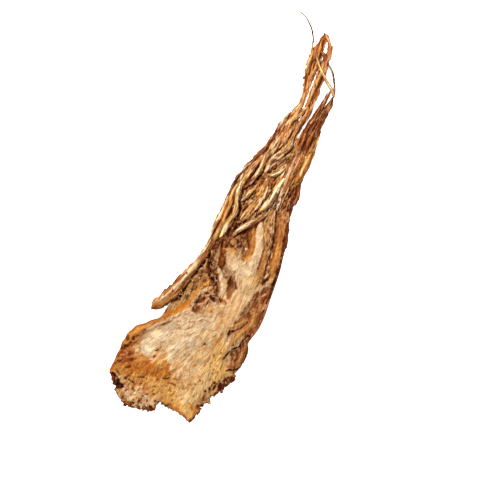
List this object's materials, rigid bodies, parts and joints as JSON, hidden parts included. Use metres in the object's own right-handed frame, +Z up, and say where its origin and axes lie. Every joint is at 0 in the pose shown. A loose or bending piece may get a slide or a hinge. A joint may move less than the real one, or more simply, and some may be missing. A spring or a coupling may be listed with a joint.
{
  "type": "dong quai root slice",
  "caption": "Dried, pressed lengthwise slice of a dong quai root: broad ragged crown end, pale cut wood ringed by brown bark, tail of wrinkled side roots and fine rootlets.",
  "frame": {"origin": "on the table, under the middle of the slice's bounding box", "axes": "+Z up from the table through the slice's thickness; +Y towards the tail of side roots; +X to the right of the cut face when the tail is at the top"},
  "size_m": [0.0909, 0.1647, 0.0098],
  "materials": {
    "dried_root": "dry, matt, pale cut wood between brown bark"
  },
  "bodies": {
    "root": {"root_slice": "dried_root"}
  },
  "joints": []
}
